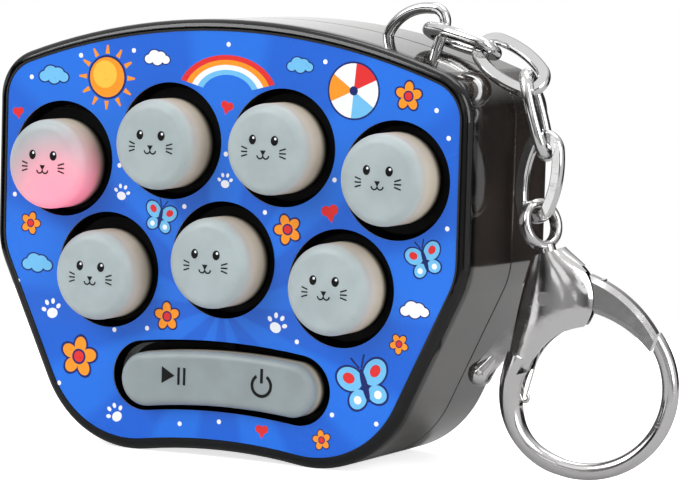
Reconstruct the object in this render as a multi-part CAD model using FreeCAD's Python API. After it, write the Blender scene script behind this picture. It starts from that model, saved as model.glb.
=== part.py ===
import FreeCAD, Part
import math
import os
from FreeCAD import Vector as V

# Electronic hamster keychain game: a hand-sized case with seven whack keys,
# a control key, a wire bail, four chain links and a swivel trigger clasp.
# Millimetres and degrees. The case stands upright and its label faces -Y.
# The origin lies on the flat back, straight behind the middle lower key.

# Case, front to back
front_shell_depth = 13.5
case_wall = 1.6
face_wall = 1.8
back_wall = 1.8
rim_width = 1.5
front_edge_round = 1.2
rear_edge_round = 1.8
seam_bevel = 0.2
lip_height = 1.4
lip_thickness = 0.8
lip_clearance = 0.1

# Case outline, measured at the edge of the label
label_half_width = 33.5
label_top = 29.7
crown_radius = 88.5
corner_radius = 5.0
blend_radius = 9.0
flank_lean = 25.3
lobe_offset = 13.6
lobe_height = -11.5
lobe_radius = 13.1
saddle_height = -23.6

# Label in its recess
label_thickness = 0.2
label_recess = 0.3
label_margin = 0.05

# Whack keys
key_radius = 5.9
key_proud = 4.8
key_edge_round = 1.5
key_edge_steps = 3
key_crown = 0.35
key_travel = 1.0
key_wall = 1.3
key_flange_radius = 7.4
key_flange_thickness = 0.9
key_seat_gap = 0.3
key_hole_radius = 7.65
key_hole_throat = 6.95
top_row_inner = (8.35, 15.06)
top_row_outer = (24.76, 11.84)
low_row_outer = (17.33, -2.46)
keypad_turn = 1.0
keypad_drop = 0.2

# Control key, a stadium bowed along the lower edge
bow_radius = 88.0
bow_height = -15.3
slot_half_height = 4.62
slot_throat = 4.2
slot_half_reach = 11.6
control_half_height = 3.55
control_half_reach = 10.9
control_proud = 1.9
control_edge_round = 1.0
control_flange = 0.9
control_end_gap = 0.9

# Board and what it carries
board_depth = 5.4
board_thickness = 1.2
board_edge_gap = 0.7
board_back_room = 2.6
mat_thickness = 1.0
mat_inset = 2.0
mat_key_gap = 0.35
led_size = (3.5, 2.8, 1.9)
led_bed = 0.1
chip_spot = (-19.0, 2.0)
chip_radius = 4.5
chip_height = 1.3
can_spot = (21.5, 5.0)
can_radius = 2.5
can_length = 6.0
small_part_spot = (9.0, 3.0)
small_part_size = (1.2, 2.0, 0.6)
small_part_step = 2.6
small_part_count = 5
board_screw_spots = ((0.0, 23.4), (8.9, -8.0), (-8.9, -8.0))
board_screw_radius = 0.85
board_screw_head = 1.5
board_screw_length = 4.0
board_post_radius = 1.7

# Speaker on the back wall
speaker_spot = (0.0, 13.5)
speaker_radius = 9.5
speaker_height = 4.6
speaker_rib = 1.0
speaker_gap = 0.15
sound_hole_radius = 0.8
sound_ring = 4.2
sound_ring_count = 6

# Button cells, their bay and its door
cell_radius = 5.8
cell_height = 5.4
cell_count = 3
bay_clearance = 0.3
cell_nest = 1.0
bay_wall = 1.2
bay_height = -12.4
contact_room = 1.6
contact_thickness = 0.3
door_thickness = 1.5
door_gap = 0.15
door_ledge = 1.2
door_screw_land = 6.0
door_round = 1.5
tongue_length = 1.6
tongue_width = 5.0
tongue_thickness = 0.7

# Screws through the rear shell into posts of the front shell
case_screw_spots = ((-16.0, 21.2), (16.0, 21.2), (22.3, -13.2), (-22.3, -13.2))
screw_radius = 1.0
screw_fit = 0.03
screw_length = 8.0
screw_head_radius = 2.0
screw_head_height = 1.3
post_radius = 2.2
post_gap = 0.1
sleeve_wall = 1.0
head_clearance = 0.5
sleeve_floor = 3.0

# Wire bail trapped in the parting line
bail_wire = 1.5
bail_fit = 0.05
bail_left = 15.7
bail_right = 22.4
bail_bar_height = label_top - 4.4
bail_crest = (25.2, label_top + 3.7)
bail_left_bend = 6.3
bail_right_bend = 1.7
bail_hidden_bend = 1.4
bail_block_drop = 1.2
bail_block_reach = 2.4

# Chain
link_length = 12.2
link_width = 6.6
link_wire = 1.7
link_flat = 1.35
link_side_bow = 14.0
link_gap = 0.32
drape_turn = 12.5
link_1_drop = 10.5
link_2_drop = 28.0
link_1_roll = 26.0
link_2_roll = 43.0
link_3_lean = 17.0
link_3_shift = 0.25
link_4_play = 0.4
link_4_lean = 9.0
link_3_facing = 100.0
link_4_facing = -6.0
link_1_rise = 0.617

# Swivel eye
eye_outer = 3.3
eye_band = 1.1
eye_width = 1.8
eye_facing = 70.0
eye_hook_gap = 0.6
eye_shift = 0.9
stem_radius = 1.1
stem_fit = 0.06
stem_head_radius = 1.75
stem_head_height = 0.8
stem_head_depth = 5.0
neck_top = 3.6

# Trigger clasp, in its own plane with the eye's centre at 0, 0
clasp_facing = 12.0
clasp_tilt = 18.0
hook_centre = (0.0, -21.4)
hook_outer = 12.0
hook_wire = 2.2
limb_width = 3.5
clasp_opening = 8.5
clasp_opening_centre = (0.8, -22.3)
gate_pivot = (-1.5, -9.2)
gate_pin_radius = 0.9
gate_pin_length = 5.3
gate_pin_fit = 0.05
gate_thickness = 3.2
gate_tongue = 1.8
gate_side_gap = 0.15
gate_seam_radius = 6.0
gate_seam_gap = 0.25
gate_tip_gap = 0.3
gate_tip_radius = 14.75
gate_bow = 0.8
gate_edge = 0.65
thumb_spot = (-12.9, -16.4)
thumb_radius = 1.6
thumb_arm = 2.2
hub_radius = 2.7
gate_spring_wire = 0.5

# Worked out from the sizes above
cell_reach = cell_radius + bay_clearance
bay_depth = back_wall + door_ledge + 2 * cell_reach - cell_nest
case_depth = board_depth + board_thickness + board_back_room + bay_wall + bay_depth
label_face = -case_depth + label_recess - label_thickness
parting = -case_depth + front_shell_depth
face_floor = -case_depth + face_wall
board_face = -case_depth + board_depth
board_back = board_face + board_thickness
key_flange_front = face_floor + key_seat_gap


def cylinder(radius, length, x, y, z, direction=V(0, 1, 0)):
    return Part.makeCylinder(radius, length, V(x, y, z), direction)


def block(x_range, y_range, z_range):
    size = [high - low for low, high in (x_range, y_range, z_range)]
    return Part.makeBox(size[0], size[1], size[2], V(x_range[0], y_range[0], z_range[0]))


def fuse_all(shapes):
    return shapes[0].multiFuse(shapes[1:]) if len(shapes) > 1 else shapes[0]


def on_circle(centre, radius, angle, y):
    turn = math.radians(angle)
    return V(centre[0] + radius * math.cos(turn), y, centre[1] + radius * math.sin(turn))


def arc(centre, radius, start, end, y):
    ends = [on_circle(centre, radius, angle, y) for angle in (start, (start + end) / 2, end)]
    return Part.Arc(*ends).toShape()


def line(start, end):
    return Part.LineSegment(start, end).toShape()


def outline(y, offset=0.0):
    """Closed wire of the case's outline, grown by offset from the label's edge."""
    crown = (0.0, label_top - crown_radius)
    corner_x = label_half_width - corner_radius
    reach = crown_radius - corner_radius
    corner = (corner_x, crown[1] + math.sqrt(reach ** 2 - corner_x ** 2))
    corner_angle = math.degrees(math.atan2(corner[1] - crown[1], corner[0]))
    lean = math.radians(flank_lean)
    normal = (math.cos(lean), -math.sin(lean))
    lobe = (lobe_offset, lobe_height)
    flank = normal[0] * lobe[0] + normal[1] * lobe[1] + lobe_radius
    blend_x = label_half_width - blend_radius
    blend = (blend_x, (normal[0] * blend_x - flank + blend_radius) / -normal[1])
    rise = lobe_height - saddle_height
    saddle_radius = (lobe_offset ** 2 + rise ** 2 - lobe_radius ** 2) / (2 * (lobe_radius - rise))
    saddle = (0.0, saddle_height - saddle_radius)
    saddle_angle = math.degrees(math.atan2(lobe[1] - saddle[1], lobe[0]))

    def mirrored(centre):
        return (-centre[0], centre[1])

    rounds = (
        (crown, crown_radius + offset, 180 - corner_angle, corner_angle),
        (corner, corner_radius + offset, corner_angle, 0),
        (blend, blend_radius + offset, 0, -flank_lean),
        (lobe, lobe_radius + offset, -flank_lean, saddle_angle - 180),
        (saddle, saddle_radius - offset, saddle_angle, 180 - saddle_angle),
        (mirrored(lobe), lobe_radius + offset, -saddle_angle, flank_lean - 180),
        (mirrored(blend), blend_radius + offset, flank_lean - 180, -180),
        (mirrored(corner), corner_radius + offset, 180, 180 - corner_angle),
    )
    arcs = [arc(centre, radius, start, end, y) for centre, radius, start, end in rounds]
    edges = []
    for index, piece in enumerate(arcs):
        edges.append(piece)
        following = arcs[(index + 1) % len(arcs)]
        start = piece.valueAt(piece.LastParameter)
        end = following.valueAt(following.FirstParameter)
        if start.distanceToPoint(end) > 0.01:
            edges.append(line(start, end))
    return Part.Wire(Part.__sortEdges__(edges))


def slab(start, end, offset):
    """Solid of the case's outline between two depths."""
    return Part.Face(outline(start, offset)).extrude(V(0, end - start, 0))


def ring_slab(start, end, outer, inner):
    return slab(start, end, outer).cut(slab(start - 1, end + 1, inner))


def edges_at(shape, y):
    """Edges that lie all along one depth."""
    found = []
    for edge in shape.Edges:
        box = edge.BoundBox
        if abs(box.YMin - y) < 0.001 and abs(box.YMax - y) < 0.001:
            found.append(edge)
    return found


def key_spots():
    """Centres of the seven key holes, in reading order."""
    (near_x, near_z), (far_x, far_z), (low_x, low_z) = top_row_inner, top_row_outer, low_row_outer
    return ((-far_x, far_z), (-near_x, near_z), (near_x, near_z), (far_x, far_z),
            (-low_x, low_z), (0.0, 0.0), (low_x, low_z))


def settled(x, z):
    """Where the keypad, lying a little turned and low in the case, puts a point."""
    turn = math.radians(keypad_turn)
    return (x * math.cos(turn) - z * math.sin(turn),
            x * math.sin(turn) + z * math.cos(turn) - keypad_drop)


def settle(shape):
    placed = shape.copy()
    placed.rotate(V(0, 0, 0), V(0, 1, 0), -keypad_turn)
    placed.translate(V(0, 0, -keypad_drop))
    return placed


def bowed_stadium(y, half_height, half_reach):
    """Closed wire that follows the bowed centre line with round ends."""
    centre = (0.0, bow_height - bow_radius)
    sweep = math.degrees(math.asin(half_reach / bow_radius))
    ends = [on_circle(centre, bow_radius, 90 + side * sweep, 0) for side in (1, -1)]
    left, right = [(end.x, end.z) for end in ends]
    return Part.Wire([
        arc(centre, bow_radius + half_height, 90 + sweep, 90 - sweep, y),
        arc(right, half_height, 90 - sweep, -90 - sweep, y),
        arc(centre, bow_radius - half_height, 90 - sweep, 90 + sweep, y),
        arc(left, half_height, 270 + sweep, 90 + sweep, y)])


def bail_height():
    """Depth of the plane in which the bail's wire lies."""
    return parting


def rounded_path(corners, radii):
    """Closed wire through corners in one plane, each rounded with its own radius."""
    count = len(corners)
    spans = []
    for index in range(count):
        here = corners[index]
        to_last = (corners[index - 1] - here).normalize()
        to_next = (corners[(index + 1) % count] - here).normalize()
        half = to_last.getAngle(to_next) / 2
        back = radii[index] / math.tan(half)
        middle = (to_last + to_next).normalize()
        heart = here + middle * (radii[index] / math.sin(half))
        spans.append((here + to_last * back, heart - middle * radii[index], here + to_next * back))
    edges = []
    for index in range(count):
        start, middle, end = spans[index]
        edges.append(Part.Arc(start, middle, end).toShape())
        edges.append(line(end, spans[(index + 1) % count][0]))
    return Part.Wire(edges)


def bail_path():
    y = bail_height()
    corners = [V(bail_left, y, bail_bar_height), V(bail_left, y, bail_crest[1]),
               V(bail_crest[0], y, bail_crest[1]), V(bail_right, y, bail_bar_height)]
    return rounded_path(corners, [bail_hidden_bend, bail_left_bend, bail_right_bend, bail_hidden_bend])


def wire_along(path, radius):
    """Round wire swept along a closed path."""
    edge = path.Edges[1]
    start = edge.valueAt(edge.FirstParameter)
    tangent = edge.tangentAt(edge.FirstParameter)
    profile = Part.Wire(Part.makeCircle(radius, start, tangent))
    edges = path.Edges[1:] + path.Edges[:1]
    return Part.Wire(edges).makePipeShell([profile], True, False)


def bail_block(start, end):
    """Block under the top wall that holds the bail's hidden bar."""
    margin = bail_wire + bail_block_drop / 2
    solid = block((bail_left - margin, bail_right + margin), (start, end),
                  (bail_bar_height - bail_wire / 2 - bail_block_drop, label_top))
    return solid.common(slab(start, end, rim_width - case_wall / 2))


def front_housing():
    rim = rim_width
    shell = slab(-case_depth, parting, rim)
    shell = shell.makeFillet(front_edge_round, edges_at(shell, -case_depth))
    shell = shell.makeChamfer(seam_bevel, edges_at(shell, parting))
    shell = shell.cut(slab(face_floor, parting + 1, rim - case_wall))
    shell = shell.cut(slab(-case_depth - 1, -case_depth + label_recess, label_margin))
    posts = [cylinder(post_radius, parting - face_floor + 0.5, x, face_floor - 0.5, z)
             for x, z in case_screw_spots]
    posts += [cylinder(board_post_radius, board_face - face_floor + 0.5, x, face_floor - 0.5, z)
              for x, z in board_screw_spots]
    shell = fuse_all([shell] + posts + [bail_block(parting - bail_block_reach, parting)])
    cuts = []
    recess_floor = -case_depth + label_recess
    flare = (key_hole_radius - key_hole_throat) / (face_floor - recess_floor)
    for x, z in key_spots():
        cuts.append(Part.makeCone(key_hole_radius + flare, key_hole_throat - flare,
                                  face_floor - recess_floor + 2, V(x, recess_floor - 1, z), V(0, 1, 0)))
    slot_flare = (slot_half_height - slot_throat) / (face_floor - recess_floor)
    slot = [bowed_stadium(recess_floor - 1, slot_half_height + slot_flare, slot_half_reach),
            bowed_stadium(face_floor + 1, slot_throat - slot_flare, slot_half_reach)]
    cuts.append(Part.makeLoft(slot, True, True))
    bite = parting - screw_length + sleeve_floor
    cuts += [cylinder(screw_radius + screw_fit, parting - bite + 1, x, bite, z)
             for x, z in case_screw_spots]
    cuts += [cylinder(board_screw_radius + screw_fit, board_screw_length, x,
                      board_back - board_screw_length, z) for x, z in board_screw_spots]
    cuts.append(wire_along(bail_path(), bail_wire / 2 + bail_fit))
    return shell.cut(cuts)


def bay_ranges():
    """Inside of the button cell bay."""
    half = cell_count * cell_height / 2 + contact_room
    return ((-half, half), (-bay_depth, 0.0), (bay_height - cell_reach, bay_height + cell_reach))


def door_ranges():
    (low_x, high_x), _, (low_z, high_z) = bay_ranges()
    return (low_x - door_ledge, high_x + door_screw_land), (low_z - door_ledge, high_z + door_ledge)


def rounded_plate(x_range, z_range, y, depth, radius):
    corners = [V(x_range[0], y, z_range[0]), V(x_range[0], y, z_range[1]),
               V(x_range[1], y, z_range[1]), V(x_range[1], y, z_range[0])]
    return Part.Face(rounded_path(corners, [radius] * 4)).extrude(V(0, depth, 0))


def door_screw_spot():
    x_range, _ = door_ranges()
    return (x_range[1] - door_screw_land / 2, bay_height)


def sound_holes():
    spots = [speaker_spot]
    for index in range(sound_ring_count):
        spot = on_circle(speaker_spot, sound_ring, index * 360 / sound_ring_count, 0)
        spots.append((spot.x, spot.z))
    return spots


def rear_housing():
    rim = rim_width
    shell = slab(parting, 0, rim)
    shell = shell.makeFillet(rear_edge_round, edges_at(shell, 0))
    shell = shell.makeChamfer(seam_bevel, edges_at(shell, parting))
    shell = shell.cut(slab(parting - 1, -back_wall, rim - case_wall))
    lip_outer = rim - case_wall - lip_clearance
    added = [ring_slab(parting - lip_height, parting + lip_height, lip_outer, lip_outer - lip_thickness),
             ring_slab(parting, parting + lip_height, rim - case_wall / 2, lip_outer - lip_thickness / 2)]
    sleeve_radius = screw_head_radius + head_clearance + sleeve_wall
    sleeve_front = parting + post_gap
    for x, z in case_screw_spots:
        sleeve = cylinder(sleeve_radius, -sleeve_front - back_wall / 2, x, sleeve_front, z)
        added.append(sleeve.common(slab(sleeve_front, 0, rim - case_wall / 2)))
    (low_x, high_x), (bay_front, _), (low_z, high_z) = bay_ranges()
    added.append(block((low_x - bay_wall, high_x + bay_wall), (bay_front - bay_wall, -back_wall / 2),
                       (low_z - bay_wall, high_z + bay_wall)).common(slab(bay_front - bay_wall, 0, 0)))
    door_x, door_z = door_ranges()
    ledge_front = -door_thickness - door_ledge
    added.append(block((door_x[0] - 1, door_x[1] + 1), (ledge_front, -back_wall / 2),
                       (door_z[0] - 1, door_z[1] + 1)).common(slab(ledge_front, 0, 0)))
    screw_x, screw_z = door_screw_spot()
    added.append(cylinder(post_radius, screw_length - door_thickness, screw_x,
                          -screw_length, screw_z))
    speaker_x, speaker_z = speaker_spot
    rib_radius = speaker_radius + speaker_gap + speaker_rib
    rib = cylinder(rib_radius, speaker_height / 2, speaker_x, -back_wall - speaker_height / 2, speaker_z)
    added.append(rib.cut(cylinder(speaker_radius + speaker_gap, speaker_height, speaker_x,
                                  -back_wall - speaker_height, speaker_z)))
    shell = fuse_all([shell] + added + [bail_block(parting, parting + bail_block_reach)])
    cuts = [ring_slab(parting - lip_height - 1, parting, 0, -4 * lip_thickness).common(
        block((bail_left - 2 * bail_wire, bail_right + 2 * bail_wire),
              (parting - lip_height - 1, parting), (bail_bar_height - 2 * bail_wire, label_top)))]
    for x, z in case_screw_spots:
        cuts.append(cylinder(screw_radius + 0.15, case_depth, x, parting - 1, z))
        head_seat = parting + sleeve_floor
        cuts.append(cylinder(screw_head_radius + head_clearance, -head_seat + 1, x, head_seat, z))
    cuts.append(block((low_x, high_x), (bay_front, 1), (low_z, high_z)))
    cuts.append(rounded_plate(door_x, door_z, -door_thickness, door_thickness + 1, door_round))
    cuts.append(cylinder(screw_radius + screw_fit, screw_length, screw_x, -screw_length + 1, screw_z))
    tongue = tongue_ranges(door_gap)
    cuts.append(block(*tongue))
    cuts += [cylinder(sound_hole_radius, back_wall + 1, x, -back_wall - 0.5, z) for x, z in sound_holes()]
    cuts.append(wire_along(bail_path(), bail_wire / 2 + bail_fit))
    return shell.cut(cuts)


def tongue_ranges(gap):
    """Tongue that hooks the door under the back wall, grown by gap."""
    door_x, _ = door_ranges()
    half = tongue_width / 2 + gap
    return ((door_x[0] - tongue_length - gap, door_x[0] + 1),
            (-door_thickness - gap, -door_thickness + tongue_thickness + gap),
            (bay_height - half, bay_height + half))


def battery_door():
    (low_x, high_x), (low_z, high_z) = door_ranges()
    door = rounded_plate((low_x + door_gap, high_x - door_gap), (low_z + door_gap, high_z - door_gap),
                         -door_thickness, door_thickness, door_round - door_gap)
    tongue_x, tongue_y, tongue_z = tongue_ranges(0.0)
    tongue = block((tongue_x[0] + door_gap, tongue_x[1] + door_ledge), tongue_y, tongue_z)
    door = door.fuse(tongue)
    x, z = door_screw_spot()
    seat = -screw_head_height / 2
    shank = cylinder(screw_radius + 0.15, door_thickness + 1, x, -door_thickness - 0.5, z)
    sink = cylinder(screw_head_radius + 0.2, 1 - seat, x, seat, z)
    return door.cut([shank, sink])


def screw(x, z, seat, radius, length, head_radius, head_height):
    """Round-headed screw driven towards the front, with a cross recess."""
    shank = cylinder(radius, length, x, seat - length, z)
    head = cylinder(head_radius, head_height, x, seat, z)
    head = head.makeChamfer(head_height * 0.3, edges_at(head, seat + head_height))
    arm = head_radius * 0.6
    cut_depth = head_height * 0.6
    top = (seat + head_height - cut_depth, seat + head_height + 1)
    slim = head_radius * 0.12
    cross = [block((x - arm, x + arm), top, (z - slim, z + slim)),
             block((x - slim, x + slim), top, (z - arm, z + arm))]
    return shank.fuse(head).cut(cross)


def case_screws():
    seat = parting + sleeve_floor
    return Part.makeCompound([screw(x, z, seat, screw_radius, screw_length, screw_head_radius,
                                    screw_head_height) for x, z in case_screw_spots])


def door_screw():
    x, z = door_screw_spot()
    seat = -screw_head_height / 2
    return screw(x, z, seat, screw_radius, screw_length - 2, screw_head_radius, screw_head_height / 2)


def board_screws():
    return Part.makeCompound([screw(x, z, board_back, board_screw_radius, board_screw_length - 0.5,
                                    board_screw_head, board_screw_radius) for x, z in board_screw_spots])


def face_label():
    front = label_face
    label = slab(front, front + label_thickness, 0)
    holes = [cylinder(key_hole_radius, 2, x, front - 1, z) for x, z in key_spots()]
    slot = Part.Face(bowed_stadium(front - 1, slot_half_height, slot_half_reach)).extrude(V(0, 2, 0))
    return label.cut(holes + [slot])


def revolved(points, x, z):
    """Solid of revolution about the line along Y through x, z; points are radius and depth."""
    corners = [V(radius, depth, 0) for radius, depth in points]
    face = Part.Face(Part.makePolygon(corners + corners[:1]))
    solid = face.revolve(V(0, 0, 0), V(0, 1, 0), 360)
    solid.translate(V(x, 0, z))
    return solid


def whack_key(number):
    """Hollow silicone key: crowned cap, flange behind the face wall, skirt over the board."""
    x, z = settled(*key_spots()[number - 1])
    front = label_face - key_proud
    shoulder = front + key_crown
    flange_back = key_flange_front + key_flange_thickness
    foot = board_face - key_travel - 0.2
    edge = key_radius - key_edge_round
    round_steps = [V(0, front, 0), V(edge / 2, front + key_crown / 4, 0)]
    for index in range(key_edge_steps + 1):
        turn = math.radians(90 * index / key_edge_steps)
        round_steps.append(V(edge + key_edge_round * math.sin(turn),
                             shoulder + key_edge_round * (1 - math.cos(turn)), 0))
    skirt = key_radius + key_wall / 2
    inside = key_radius - key_wall
    roof = shoulder + key_wall
    steps = round_steps + [
        V(key_radius, key_flange_front, 0), V(key_flange_radius, key_flange_front, 0),
        V(key_flange_radius, flange_back, 0), V(skirt, flange_back, 0), V(skirt, foot, 0),
        V(inside, foot, 0), V(inside, roof + key_edge_round, 0),
        V(edge - key_wall / 2, roof, 0), V(0, roof, 0), V(0, front, 0)]
    key = Part.Face(Part.makePolygon(steps)).revolve(V(0, 0, 0), V(0, 1, 0), 360)
    key.translate(V(x, 0, z))
    return key


def control_key():
    """One bowed silicone key that rocks on a ridge at its middle."""
    front = label_face - control_proud
    flange_front = face_floor + control_end_gap
    flange_back = flange_front + key_flange_thickness
    foot = board_face - key_travel - 0.2
    cap = Part.Face(bowed_stadium(front, control_half_height, control_half_reach))
    cap = cap.extrude(V(0, flange_back - front, 0))
    cap = cap.makeFillet(control_edge_round, edges_at(cap, front))
    flange = Part.Face(bowed_stadium(flange_front, control_half_height + control_flange,
                                     control_half_reach)).extrude(V(0, key_flange_thickness, 0))
    ridge_top = control_half_height + control_flange
    ridge = block((-0.8, 0.8), (key_flange_front, flange_front + 0.2),
                  (bow_height - ridge_top, bow_height + ridge_top))
    feet = [cylinder(2.2, foot - flange_back + 0.5, side * control_half_reach * 0.8, flange_back - 0.5,
                     bow_height - 0.45) for side in (-1, 1)]
    return settle(fuse_all([cap, flange, ridge] + feet))


def keypad_mat():
    """Silicone sheet on the board, open round each key's skirt and round the posts."""
    back = board_face
    mat = slab(back - mat_thickness, back, rim_width - case_wall - mat_inset)
    skirt = key_radius + key_wall / 2 + mat_key_gap
    holes = [cylinder(skirt, 4, *through(settled(x, z), back - 3)) for x, z in key_spots()]
    holes += [cylinder(post_radius + mat_key_gap, 4, x, back - 3, z) for x, z in case_screw_spots]
    holes += [cylinder(board_post_radius + mat_key_gap, 4, x, back - 3, z) for x, z in board_screw_spots]
    window = settle(Part.Face(bowed_stadium(back - 3, control_half_height, control_half_reach)).extrude(
        V(0, 4, 0)))
    return mat.cut(holes + [window])


def through(spot, y):
    return (spot[0], y, spot[1])


def circuit_board():
    board = slab(board_face, board_back, rim_width - case_wall - board_edge_gap)
    holes = [cylinder(post_radius + 0.3, 4, x, board_face - 1, z) for x, z in case_screw_spots]
    holes += [cylinder(board_screw_radius + 0.2, 4, x, board_face - 1, z) for x, z in board_screw_spots]
    notch = block((bail_left - 2 * bail_wire, bail_right + 2 * bail_wire), (board_face - 1, board_back + 1),
                  (bail_bar_height - 2 * bail_wire, label_top))
    return board.cut(holes + [notch])


def key_leds():
    width, height, depth = led_size
    lamps = []
    for spot in key_spots():
        x, z = settled(*spot)
        lamp = block((x - width / 2, x + width / 2), (board_face - depth, board_face),
                     (z - height / 2, z + height / 2))
        mouth = V(x, board_face - depth, z)
        well = Part.makeCone(height * 0.4, height * 0.3, led_bed * 3, mouth, V(0, 1, 0))
        lamps.append(lamp.cut(well))
    return Part.makeCompound(lamps)


def sound_chip():
    """Black resin drop over the chip on the back of the board."""
    radius = (chip_radius ** 2 + chip_height ** 2) / (2 * chip_height)
    x, z = chip_spot
    ball = Part.makeSphere(radius, V(x, board_back + chip_height - radius, z))
    return ball.common(cylinder(chip_radius * 1.2, chip_height * 2, x, board_back, z))


def board_components():
    x, z = can_spot
    can = cylinder(can_radius, can_length, x, board_back, z)
    can = can.makeFillet(0.4, edges_at(can, board_back + can_length))
    small = []
    width, height, depth = small_part_size
    for index in range(small_part_count):
        low = small_part_spot[0] + index * small_part_step
        small.append(block((low, low + width), (board_back, board_back + depth),
                           (small_part_spot[1], small_part_spot[1] + height)))
    return Part.makeCompound([can] + small)


def speaker():
    """Small cone speaker: stepped frame, cone behind the sound holes, magnet in front of it."""
    x, z = speaker_spot
    back = -back_wall - 0.1
    rim_front = back - speaker_height * 0.26
    magnet = speaker_radius * 0.55
    points = [(0.0, back - speaker_height), (magnet, back - speaker_height),
              (magnet, back - speaker_height * 0.55),
              (speaker_radius * 0.8, back - speaker_height * 0.5),
              (speaker_radius, rim_front), (speaker_radius, back), (speaker_radius * 0.88, back),
              (speaker_radius * 0.35, rim_front), (0.0, rim_front)]
    return revolved(points, x, z)


def cell_centre():
    _, (front, _), _ = bay_ranges()
    return front + cell_reach


def battery_cells():
    """Button cells stacked along X."""
    cells = []
    start = -cell_count * cell_height / 2
    y = cell_centre()
    for index in range(cell_count):
        low = start + index * cell_height
        can = cylinder(cell_radius, cell_height - 0.6, low, y, bay_height, V(1, 0, 0))
        cap = cylinder(cell_radius * 0.78, 0.6, low + cell_height - 0.6, y, bay_height, V(1, 0, 0))
        cells.append(can.fuse(cap))
    return Part.makeCompound(cells)


def battery_contacts():
    """Flat plate at one end of the bay and a bowed leaf at the other."""
    (low_x, high_x), _, _ = bay_ranges()
    y = cell_centre()
    half = cell_radius * 0.7
    sheet = contact_thickness
    stack = cell_count * cell_height / 2
    plate = block((high_x - sheet, high_x), (y - half, y + half), (bay_height - half, bay_height + half))
    dimple = cylinder(half * 0.5, high_x - sheet - stack - 0.1, stack + 0.1, y, bay_height, V(1, 0, 0))
    reach = low_x + contact_room - 0.1
    inner = [V(low_x, y - half, 0), V(reach - sheet, y, 0), V(low_x, y + half, 0)]
    outer = [V(low_x + sheet, y + half, 0), V(reach, y, 0), V(low_x + sheet, y - half, 0)]
    leaf_wire = Part.Wire([Part.Arc(*inner).toShape(), line(inner[2], outer[0]),
                           Part.Arc(*outer).toShape(), line(outer[2], inner[0])])
    leaf = Part.Face(leaf_wire).extrude(V(0, 0, half))
    leaf.translate(V(0, 0, bay_height - half / 2))
    return Part.makeCompound([plate.fuse(dimple), leaf])


def wire_bail():
    return wire_along(bail_path(), bail_wire / 2)


def link_end_radius():
    """Radius of a link's end arcs, so that they run smoothly into the sides."""
    half_length, half_width = (link_length - link_wire) / 2, (link_width - link_wire) / 2
    bow = 2 * link_side_bow * half_width - half_length ** 2 - half_width ** 2
    return bow / (2 * (link_side_bow - half_length))


def link_ring():
    """One oval chain link lying in the XZ plane, long side along Z, centred at the origin."""
    half_length, half_width = (link_length - link_wire) / 2, (link_width - link_wire) / 2
    end_radius = link_end_radius()
    heart = V(0, 0, half_length - end_radius)
    touch = heart + (heart - V(half_width - link_side_bow, 0, 0)).normalize() * end_radius
    corners = [V(across * touch.x, 0, up * touch.z) for across, up in ((1, -1), (1, 1), (-1, 1), (-1, -1))]
    bulges = [V(half_width, 0, 0), V(0, 0, half_length), V(-half_width, 0, 0), V(0, 0, -half_length)]
    path = Part.Wire([Part.Arc(corners[index], bulges[index], corners[(index + 1) % 4]).toShape()
                      for index in range(4)])
    return flattened_sweep(path)


def flattened_sweep(path):
    """Sweep of the link's wire, round but ground flat on its two faces."""
    half_chord = math.sqrt(link_wire ** 2 - link_flat ** 2) / 2
    start = path.Edges[0].valueAt(path.Edges[0].FirstParameter)
    tangent = path.Edges[0].tangentAt(path.Edges[0].FirstParameter)
    across = tangent.cross(V(0, 1, 0)).normalize()
    chord, lift = across * half_chord, V(0, link_flat / 2, 0)
    bulge = across * (link_wire / 2)
    profile = Part.Wire([line(start - chord + lift, start + chord + lift),
                         Part.Arc(start + chord + lift, start + bulge, start + chord - lift).toShape(),
                         line(start + chord - lift, start - chord - lift),
                         Part.Arc(start - chord - lift, start - bulge, start - chord + lift).toShape()])
    return path.makePipeShell([profile], True, True)


def along_frame(shape, origin, long_axis, strand):
    """Place a shape drawn with its long axis along -Z and its end strands along X."""
    normal = long_axis.cross(strand).normalize()
    matrix = FreeCAD.Matrix(strand.x, normal.x, -long_axis.x, origin.x,
                            strand.y, normal.y, -long_axis.y, origin.y,
                            strand.z, normal.z, -long_axis.z, origin.z, 0, 0, 0, 1)
    placed = shape.copy()
    placed.transformShape(matrix)
    return placed


def facing(angle):
    """Level direction that looks to the front, turned to the right by angle."""
    turn = math.radians(angle)
    return V(math.sin(turn), -math.cos(turn), 0)


def drape_direction():
    turn = math.radians(drape_turn)
    return V(math.cos(turn), -math.sin(turn), 0)


def sloping(drop):
    turn = math.radians(drop)
    return drape_direction() * math.cos(turn) + V(0, 0, -math.sin(turn))


def leaning(lean):
    turn = math.radians(lean)
    return V(math.sin(turn), 0, -math.cos(turn))


def rolled(axis, lift, roll):
    """Direction square to axis, turned about it by roll from the level towards lift."""
    level = lift.cross(axis).normalize()
    turn = math.radians(roll)
    return level * math.cos(turn) + axis.cross(level) * math.sin(turn)


def hooked(axis, strand, next_strand):
    """Step from a link's end strand to the next link's strand inside it."""
    step = strand.cross(next_strand).normalize() * (link_wire + link_gap)
    return step if step.dot(axis) < 0 else step * -1


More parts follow.
